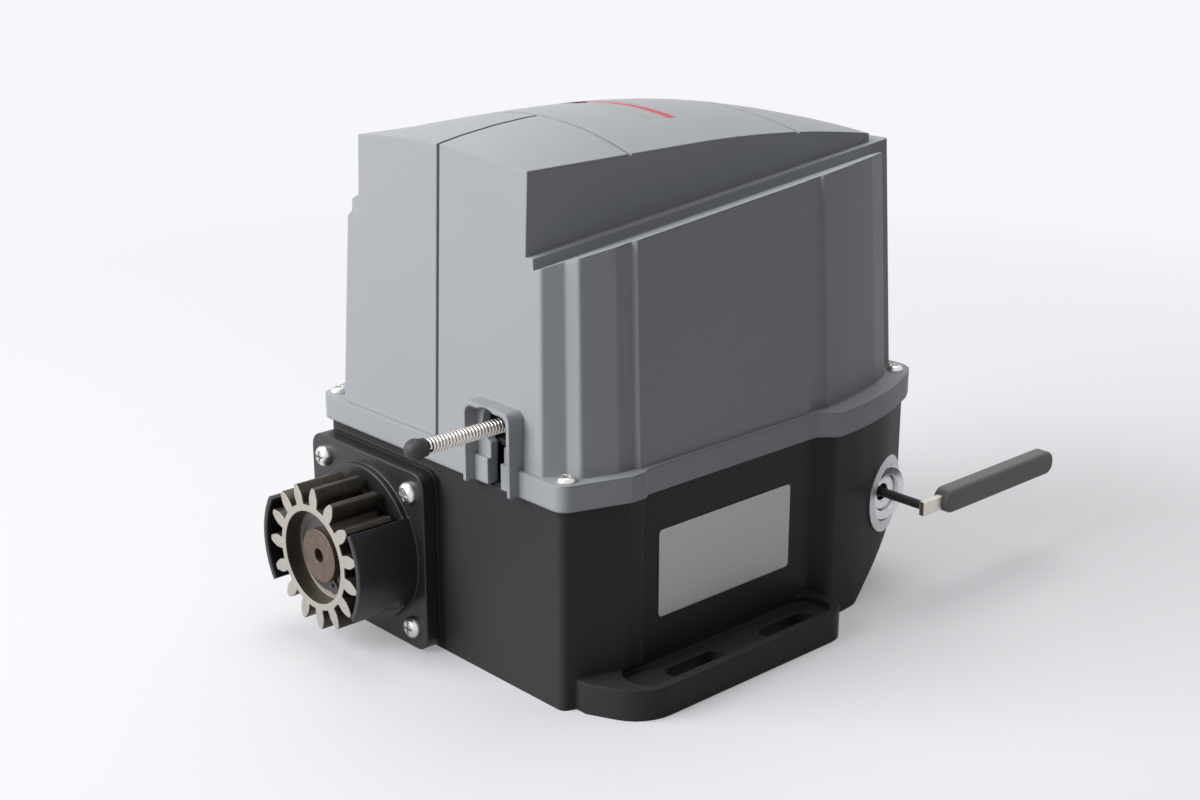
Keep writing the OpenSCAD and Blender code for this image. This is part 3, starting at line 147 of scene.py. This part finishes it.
class Finish(Nodes):
    """The finish of one material, worked out over each piece's own coordinates."""

    def __init__(self, name, colour=None, metallic=0.0):
        self.material = bpy.data.materials.new(name)
        self.material.use_nodes = True
        super().__init__(self.material.node_tree)
        self.shader = self.tree.nodes["Principled BSDF"]
        self.place = self.node("ShaderNodeTexCoord", {}, {}, "Object")
        self.set("Metallic", metallic)
        if colour:
            self.set("Base Color", (*colour, 1))

    def set(self, name, value):
        self.join(self.shader.inputs[name], value)

    def noise(self, scale, detail, stretch=(1, 1, 1)):
        place = self.node("ShaderNodeMapping", {}, {"Vector": self.place, "Scale": stretch})
        return self.node("ShaderNodeTexNoise", {}, {"Vector": place, "Scale": scale, "Detail": detail})

    def ramp(self, value, *stops):
        return self.node("ShaderNodeValToRGB", {"stops": stops}, {"Fac": value})

    def mix(self, share, first, second):
        first, second = [(*shade, 1) if isinstance(shade, tuple) else shade for shade in (first, second)]
        return self.node("ShaderNodeMix", {"data_type": "RGBA"}, {0: share, 6: first, 7: second}, 2)

    def axis(self, name):
        return self.node("ShaderNodeSeparateXYZ", {}, {0: self.place}, name)

    def facing(self, name):
        normal = self.node("ShaderNodeTexCoord", {}, {}, "Normal")
        return self.node("ShaderNodeSeparateXYZ", {}, {0: normal}, name)

    def relief(self, height, depth, strength, edge=0.0003):
        """Raises a fine relief on a surface whose edges are rounded to a radius."""
        rounded = self.node("ShaderNodeBevel", {"samples": 6}, {"Radius": edge})
        bump = self.node("ShaderNodeBump", {}, {"Height": height, "Distance": depth, "Strength": strength,
                                                "Normal": rounded})
        self.set("Normal", bump)


table_half_w = 12
near_glow = 0.30
far_glow = 0.8
pale = (0.93, 0.925, 0.965, 1)
table_finish = Finish("white_table")
table_finish.set("Base Color", table_finish.mix(table_finish.seen(), (0.38, 0.38, 0.40), (0.79, 0.78, 0.80)))
table_finish.set("Roughness", 0.9)
table_finish.set("Specular IOR Level", 0.0)
lit = Wire(table_finish, table_finish.shader.outputs[0])
glow = table_finish.node("ShaderNodeEmission", {}, {"Color": pale, "Strength": 1.0})
far_square = table_finish.axis("X") * table_finish.axis("X") + table_finish.axis("Y") * table_finish.axis("Y")
glow_share = table_finish.seen() * (near_glow + far_glow * far_square)
shown = table_finish.node("ShaderNodeMixShader", {}, {0: glow_share, 1: lit, 2: glow})
table_finish.join(table_finish.tree.nodes["Material Output"].inputs["Surface"], shown)
floor_form = bmesh.new()
bmesh.ops.create_grid(floor_form, x_segments=1, y_segments=1, size=table_half_w)
floor_mesh = bpy.data.meshes.new("floor")
floor_form.to_mesh(floor_mesh)
floor_form.free()
floor = bpy.data.objects.new("floor", floor_mesh)
scene.collection.objects.link(floor)
floor.data.materials.append(table_finish.material)

fill_light = 0.10
white_seen = 1.0
world = bpy.data.worlds.new("surround")
world.use_nodes = True
scene.world = world
surround = Nodes(world.node_tree)
background = world.node_tree.nodes["Background"]
surround.join(background.inputs["Strength"], fill_light + (white_seen - fill_light) * surround.seen())
surround.join(background.inputs["Color"], pale)


def window(name, place, width, height, watts, tint):
    """Hangs a soft rectangular light that faces the middle of the operator."""
    middle = Vector((0, 0, 0.1))
    lamp = bpy.data.lights.new(name, "AREA")
    lamp.shape = "RECTANGLE"
    lamp.size = width
    lamp.size_y = height
    lamp.energy = watts
    lamp.color = tint
    thing = bpy.data.objects.new(name, lamp)
    thing.location = place
    thing.rotation_euler = (middle - Vector(place)).to_track_quat("-Z", "Y").to_euler()
    scene.collection.objects.link(thing)


window("main_window", place=(-1.0, -2.2, 1.5), width=2.3, height=1.8, watts=104, tint=(0.98, 0.99, 1.0))
window("top_window", place=(-0.4, 0.5, 2.2), width=1.6, height=1.6, watts=28, tint=(1.0, 0.99, 0.98))


# The base: a die-cast aluminium housing with a satin black powder coat, which rounds
# its edges and has a faint orange peel. It is bolted down through the slots in its two
# feet, and each foot has a shallow recess inside a rim.
def cover_with(thing, finish):
    thing.data.materials.clear()
    thing.data.materials.append(finish.material)


def dress(node, name, finish, edge=0.0, bend_deg=30, steps=2, cut=None, slim=None):
    """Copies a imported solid, rounds its sharp edges and shows the copy in its place."""
    merge_gap = 1e-6
    flat_deg = 0.4
    source = frame["nodes"][node]
    form = bmesh.new()
    form.from_mesh(source.data)
    bmesh.ops.remove_doubles(form, verts=form.verts, dist=merge_gap)
    if slim:
        low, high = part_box(node)
        centre = Matrix.Translation([-(a + b) / 2 for a, b in zip(low, high)])
        bmesh.ops.scale(form, vec=slim, space=centre, verts=form.verts)
    if cut:
        cut(form)
    bmesh.ops.dissolve_limit(form, angle_limit=math.radians(flat_deg), verts=form.verts, edges=form.edges)
    if edge:
        bend = math.radians(bend_deg)
        sharp = [e for e in form.edges if len(e.link_faces) == 2 and e.calc_face_angle(0) > bend]
        bmesh.ops.bevel(form, geom=sharp, offset=edge, segments=steps, profile=0.5, affect="EDGES",
                        material=-1, clamp_overlap=True)
    mesh = bpy.data.meshes.new(name)
    form.to_mesh(mesh)
    form.free()
    mesh.polygons.foreach_set("use_smooth", [True] * len(mesh.polygons))
    mesh.set_sharp_from_angle(angle=math.radians(bend_deg))
    thing = bpy.data.objects.new(name, mesh)
    scene.collection.objects.link(thing)
    even = thing.modifiers.new("even shading", "WEIGHTED_NORMAL")
    even.keep_sharp = True
    cover_with(thing, finish)
    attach(thing, source["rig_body"])
    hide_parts(node)


def sink_foot_recesses(form):
    """Cuts a shallow recess with round corners into the top of both feet."""
    recess_x0 = 0.0900
    recess_x1 = 0.1105
    recess_y0 = -0.0660
    recess_y1 = 0.0555
    recess_corner_r = 0.008
    foot_top = 0.014
    recess_d = 0.0035
    over = 0.0002
    size = (recess_x1 - recess_x0, recess_y1 - recess_y0, recess_d + over)
    middle = ((recess_x0 + recess_x1) / 2, (recess_y0 + recess_y1) / 2, foot_top + over - size[2] / 2)
    pads = bmesh.new()
    for side in (-1, 1):
        pad = bmesh.ops.create_cube(pads, size=1.0)["verts"]
        bmesh.ops.scale(pads, vec=size, verts=pad)
        bmesh.ops.translate(pads, vec=(side * middle[0], middle[1], middle[2]), verts=pad)
    upright = [e for e in pads.edges if abs(e.verts[0].co.z - e.verts[1].co.z) > size[2] / 2]
    bmesh.ops.bevel(pads, geom=upright, offset=recess_corner_r, segments=6, profile=0.5, affect="EDGES",
                    material=-1)
    pair = []
    for name, part in (("blank", form), ("pads", pads)):
        mesh = bpy.data.meshes.new(name)
        part.to_mesh(mesh)
        pair.append(bpy.data.objects.new(name, mesh))
        scene.collection.objects.link(pair[-1])
    pads.free()
    cutting = pair[0].modifiers.new("cut", "BOOLEAN")
    cutting.object = pair[1]
    cutting.solver = "EXACT"
    whole = pair[0].evaluated_get(bpy.context.evaluated_depsgraph_get())
    result = bpy.data.meshes.new_from_object(whole)
    form.clear()
    form.from_mesh(result)
    for mesh in (result, pair[0].data, pair[1].data):
        bpy.data.meshes.remove(mesh)


coat_finish = Finish("black_powder_coat")
peel = coat_finish.noise(scale=420, detail=3)
haze = coat_finish.noise(scale=14, detail=4)
dust = coat_finish.ramp(coat_finish.noise(scale=1900, detail=2), (0.69, 0.0), (0.75, 1.0))
coat_finish.set("Base Color", coat_finish.mix(dust * 0.2, (0.040, 0.039, 0.041), (0.16, 0.16, 0.16)))
coat_finish.set("Specular IOR Level", 0.12)
coat_finish.set("Roughness", 0.36 + 0.10 * haze + 0.06 * peel)
coat_finish.relief(peel, depth=0.00009, strength=0.5, edge=0.0015)
dress("base_housing", "base_casting", coat_finish, edge=0.0008, bend_deg=28,
      cut=sink_foot_recesses)

# The name panel: a satin silver foil plate with round corners, brushed upright and
# stuck on the casting.
foil_finish = Finish("satin_foil", metallic=0.35)
brushed = foil_finish.noise(scale=260, detail=4, stretch=(1, 1, 22))
foil_finish.set("Base Color", foil_finish.mix(brushed, (0.50, 0.50, 0.50), (0.62, 0.62, 0.62)))
foil_finish.set("Roughness", 0.30 + 0.14 * brushed)
foil_finish.relief(brushed, depth=0.00002, strength=0.4)
dress("nameplate", "name_panel", foil_finish, edge=0.00015)


# The base's rubbers: the grommet that the mains cable passes, and the seal pressed in
# round the shaft. They keep their solids, in dull black rubber.
def finish_solids(finish, slot, *nodes):
    for node in nodes:
        cover_with(frame["nodes"][node], finish)


rubber_finish = Finish("black_rubber", colour=(0.03, 0.03, 0.031))
rubber_grain = rubber_finish.noise(scale=1100, detail=3)
rubber_finish.set("Roughness", 0.5 + 0.2 * rubber_grain)
rubber_finish.relief(rubber_grain, depth=0.00005, strength=0.5)
finish_solids(rubber_finish, "black_rubber", "cable_grommet", "shaft_seal")

# The bearings, the worm and the clutch's pin: hardened steel, turned and ground bright.
# The bearings are pressed into bored seats, and the worm runs in two of them.
ground_finish = Finish("ground_steel", colour=(0.62, 0.62, 0.64), metallic=1.0)
ground_finish.set("Roughness", 0.18 + 0.14 * ground_finish.noise(scale=300, detail=3))
finish_solids(ground_finish, "bearing_steel", "front_bearing", "rear_bearing", "lower_worm_bearing",
              "upper_worm_bearing", "motor_top_bearing", "worm_shaft", "clutch_pin")

# The worm wheel: cast bronze with hobbed teeth, loose on the shaft until the clutch
# takes it along.
bronze_finish = Finish("cast_bronze", colour=(0.50, 0.31, 0.12), metallic=1.0)
bronze_finish.set("Roughness", 0.28 + 0.2 * bronze_finish.noise(scale=400, detail=4))
finish_solids(bronze_finish, "bronze", "worm_wheel")

# The pinion, the shaft's key and the clutch ring: machined steel. The pinion is keyed on
# the shaft. Its faces are turned and light, and its hobbed flanks are dark with oil.
gear_finish = Finish("oiled_gear_steel")
oil = gear_finish.noise(scale=130, detail=5)
flank_shade = gear_finish.mix(oil, (0.035, 0.028, 0.022), (0.11, 0.09, 0.07))
turned = gear_finish.noise(scale=420, detail=4)
face_shade = gear_finish.mix(turned, (0.38, 0.35, 0.31), (0.55, 0.515, 0.47))
face_share = gear_finish.ramp(0 - gear_finish.facing("Y"), (0.80, 0.0), (0.95, 1.0))
gear_finish.set("Base Color", gear_finish.mix(face_share, flank_shade, face_shade))
gear_finish.set("Metallic", 0.55 + 0.2 * oil)
gear_finish.set("Roughness", 0.34 + 0.22 * oil)
gear_finish.relief(gear_finish.noise(scale=900, detail=3), depth=0.00004, strength=0.5)
dress("pinion", "drive_pinion", gear_finish, edge=0.0004, bend_deg=35)
finish_solids(gear_finish, "gear_steel", "shaft_key", "clutch_ring")

# The output shaft: turned steel, browned by handling and damp, with a centre hole in
# its end.
shaft_finish = Finish("browned_shaft_steel", metallic=0.7)
rust = shaft_finish.noise(scale=260, detail=5)
shaft_finish.set("Base Color", shaft_finish.mix(rust, (0.07, 0.05, 0.04), (0.24, 0.18, 0.14)))
shaft_finish.set("Roughness", 0.30 + 0.24 * rust)
shaft_finish.relief(rust, depth=0.00004, strength=0.5)
dress("output_shaft", "drive_shaft", shaft_finish, edge=0.0003, bend_deg=35)

# The retaining ring: punched spring steel with a phosphate finish, sprung into the
# shaft's groove to hold the pinion.
clip_finish = Finish("phosphated_spring_steel", colour=(0.12, 0.115, 0.11), metallic=0.8)
clip_finish.set("Roughness", 0.32 + 0.2 * clip_finish.noise(scale=600, detail=3))
dress("circlip", "retaining_ring", clip_finish, edge=0.0002, bend_deg=35)

# The flange with the pinion's guard: one casting with a glossier black coat than the
# base's, held on the gate side by four screws.
guard_finish = Finish("glossy_black_coat", colour=(0.017, 0.017, 0.018))
guard_peel = guard_finish.noise(scale=420, detail=3)
guard_finish.set("Roughness", 0.28 + 0.14 * guard_peel)
guard_finish.relief(guard_peel, depth=0.00006, strength=0.5, edge=0.0012)
dress("pinion_flange", "pinion_guard", guard_finish, edge=0.0007, steps=3)

# The gear case's lid, the motor's ribbed case and its end bell: plain aluminium
# castings with a rough skin, screwed together.
cast_finish = Finish("plain_casting", colour=(0.50, 0.51, 0.52), metallic=0.7)
cast_grain = cast_finish.noise(scale=500, detail=4)
cast_finish.set("Roughness", 0.42 + 0.2 * cast_grain)
cast_finish.relief(cast_grain, depth=0.00008, strength=0.6)
finish_solids(cast_finish, "cast_grey", "gearbox_lid", "motor_housing", "motor_end_bell")

# The cores of stator, rotor and transformer: stacks of thin steel sheet, pressed
# together, with the stack's lines showing.
core_finish = Finish("stacked_steel", colour=(0.28, 0.28, 0.30), metallic=0.8)
stack = core_finish.node("ShaderNodeTexWave", {"bands_direction": "Z"},
                         {"Vector": core_finish.place, "Scale": 300.0}, 1)
core_finish.set("Roughness", 0.4 + 0.2 * stack)
core_finish.relief(stack, depth=0.0001, strength=0.6)
finish_solids(core_finish, "lamination", "stator_core", "rotor_core", "transformer")

# The windings: bundles of enamelled copper wire, laid in the stator's slots and folded
# over its ends.
copper_finish = Finish("enamelled_copper", metallic=0.6)
strands = copper_finish.noise(scale=700, detail=3, stretch=(1, 1, 0.2))
copper_finish.set("Base Color", copper_finish.mix(strands, (0.36, 0.12, 0.05), (0.62, 0.27, 0.12)))
copper_finish.set("Roughness", 0.35)
copper_finish.relief(strands, depth=0.0002, strength=0.7)
finish_solids(copper_finish, "copper_wire", "stator_windings")

# The release's slider and cam, and all the screws: steel with bright zinc plating, which
# is slightly yellow and has a fine frost. The screws that show have rounded edges.
zinc_finish = Finish("bright_zinc", metallic=1.0)
plating = zinc_finish.noise(scale=700, detail=4)
zinc_finish.set("Base Color", zinc_finish.mix(plating, (0.66, 0.66, 0.63), (0.82, 0.82, 0.80)))
zinc_finish.set("Roughness", 0.22 + 0.2 * plating)
zinc_finish.relief(plating, depth=0.00003, strength=0.5)
finish_solids(zinc_finish, "bright_zinc", "release_slider", "release_cam", "lid_screws", "motor_screws",
              "tray_screws", "bracket_screws")
for node, name in (("cover_screws", "hood_screws"), ("flange_screws", "plate_screws")):
    dress(node, name, zinc_finish, edge=0.0002, bend_deg=35)

# The lock: a satin silver ring with fine marks, set round a chromed barrel in the base's
# side. The plug in the barrel turns with the key.
ring_finish = Finish("satin_ring", colour=(0.62, 0.62, 0.63), metallic=0.9)
ring_marks = ring_finish.noise(scale=500, detail=4)
ring_finish.set("Roughness", 0.26 + 0.2 * ring_marks)
ring_finish.relief(ring_marks, depth=0.00003, strength=0.5)
dress("lock_ring", "lock_rosette", ring_finish, edge=0.0002, bend_deg=35)
chrome_finish = Finish("worn_chrome", colour=(0.75, 0.75, 0.76), metallic=1.0)
chrome_finish.set("Roughness", 0.10 + 0.16 * chrome_finish.noise(scale=240, detail=4))
dress("lock_barrel", "lock_cylinder", chrome_finish, edge=0.0004, bend_deg=35)
dress("lock_plug", "lock_core", chrome_finish, edge=0.0012, bend_deg=35, steps=3)

# The key: a thin black shank and a bent strip with worn nickel plating, riveted into a
# moulded grey grip.
moulding_finish = Finish("black_moulding", colour=(0.03, 0.03, 0.032))
moulding_grain = moulding_finish.noise(scale=1200, detail=3)
moulding_finish.set("Roughness", 0.42 + 0.16 * moulding_grain)
moulding_finish.relief(moulding_grain, depth=0.00005, strength=0.5)
dress("key_shank", "key_stem", moulding_finish, edge=0.0003, bend_deg=35,
      slim=(1, 0.55, 0.55))
strip_finish = Finish("worn_nickel", metallic=1.0)
strip_wear = strip_finish.noise(scale=300, detail=4)
strip_finish.set("Base Color", strip_finish.mix(strip_wear, (0.60, 0.54, 0.44), (0.82, 0.79, 0.73)))
strip_finish.set("Roughness", 0.24 + 0.22 * strip_wear)
dress("key_strip", "key_blade", strip_finish, edge=0.0004, bend_deg=35)
grip_finish = Finish("grip_moulding", colour=(0.14, 0.14, 0.145))
grip_grain = grip_finish.noise(scale=1000, detail=3)
grip_finish.set("Roughness", 0.38 + 0.16 * grip_grain)
grip_finish.relief(grip_grain, depth=0.00006, strength=0.5)
dress("key_grip", "key_handle", grip_finish, edge=0.0018, bend_deg=35, steps=4)

# The controls: a green printed board with blue relays and a green terminal strip, on a
# black moulded tray, and beside it the motor's capacitor, a drawn can in a moulded clip.
finish_solids(moulding_finish, "black_plastic", "board_tray", "capacitor_clip")
board_finish = Finish("printed_board")
tracks = board_finish.ramp(board_finish.noise(scale=160, detail=0), (0.49, 0.0), (0.51, 1.0))
board_finish.set("Base Color", board_finish.mix(tracks, (0.025, 0.15, 0.06), (0.04, 0.24, 0.10)))
board_finish.set("Roughness", 0.3)
finish_solids(board_finish, "board_green", "control_board")
green_finish = Finish("terminal_plastic", colour=(0.05, 0.28, 0.10))
green_finish.set("Roughness", 0.36 + 0.14 * green_finish.noise(scale=800, detail=3))
finish_solids(green_finish, "terminal_green", "terminal_block")
blue_finish = Finish("relay_case", colour=(0.03, 0.07, 0.24))
blue_finish.set("Roughness", 0.28 + 0.14 * blue_finish.noise(scale=800, detail=3))
finish_solids(blue_finish, "relay_blue", "relays")
can_finish = Finish("drawn_can", colour=(0.72, 0.72, 0.70), metallic=1.0)
can_finish.set("Roughness", 0.22 + 0.16 * can_finish.noise(scale=260, detail=3, stretch=(1, 1, 0.1)))
finish_solids(can_finish, "can_metal", "capacitor")

# The limit switches: two switches on a black moulded bracket behind the hood's keyhole.
# The lever that trips them is a zinc-plated hub with a closely wound spring of stainless
# wire and a rubber ball pushed on its end.
for node, name in (("limit_bracket", "switch_bracket"), ("microswitches", "switches")):
    dress(node, name, moulding_finish, edge=0.0003, bend_deg=35)
dress("limit_hub", "lever_hub", zinc_finish, edge=0.0002, bend_deg=35)
wire_finish = Finish("stainless_wire", metallic=1.0)
drawn = wire_finish.noise(scale=900, detail=3)
wire_finish.set("Base Color", wire_finish.mix(drawn, (0.62, 0.57, 0.52), (0.80, 0.77, 0.74)))
wire_finish.set("Roughness", 0.2 + 0.16 * drawn)
dress("limit_spring", "lever_spring", wire_finish, bend_deg=70)
dress("limit_ball", "lever_ball", rubber_finish, bend_deg=40)

# The seal: a black rubber band laid on the base's rim, under the hood's flange.
dress("cover_seal", "seal", rubber_finish)

# The hood: one moulded shell of grey ABS with a fine spark-eroded grain. It stands on
# the seal, and its four screws hold it down by the flange.
hood_finish = Finish("grained_abs")
grain = hood_finish.noise(scale=1500, detail=3)
cloud = hood_finish.noise(scale=9, detail=3)
hood_finish.set("Base Color", hood_finish.mix(cloud, (0.345, 0.360, 0.374), (0.375, 0.390, 0.405)))
hood_finish.set("Roughness", 0.44 + 0.12 * grain + 0.04 * cloud)
hood_finish.set("Specular IOR Level", 0.25)
hood_finish.relief(grain, depth=0.00006, strength=0.6, edge=0.0016)
dress("cover", "hood", hood_finish, edge=0.0006, bend_deg=24)

# The insert on the crown: a thin grey plate glued into the recess, with one plain red
# edge at the rear.
red_edge_w = 0.005
insert_finish = Finish("pale_insert")
insert_rear_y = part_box("top_panel")[1][1]
red_edge = (insert_rear_y - insert_finish.axis("Y")) < red_edge_w
insert_finish.set("Base Color", insert_finish.mix(red_edge, (0.30, 0.305, 0.31), (0.48, 0.035, 0.03)))
insert_finish.set("Roughness", 0.4)
insert_finish.relief(insert_finish.noise(scale=900, detail=2), depth=0.00003, strength=0.5)
dress("top_panel", "crown_insert", insert_finish, bend_deg=40)
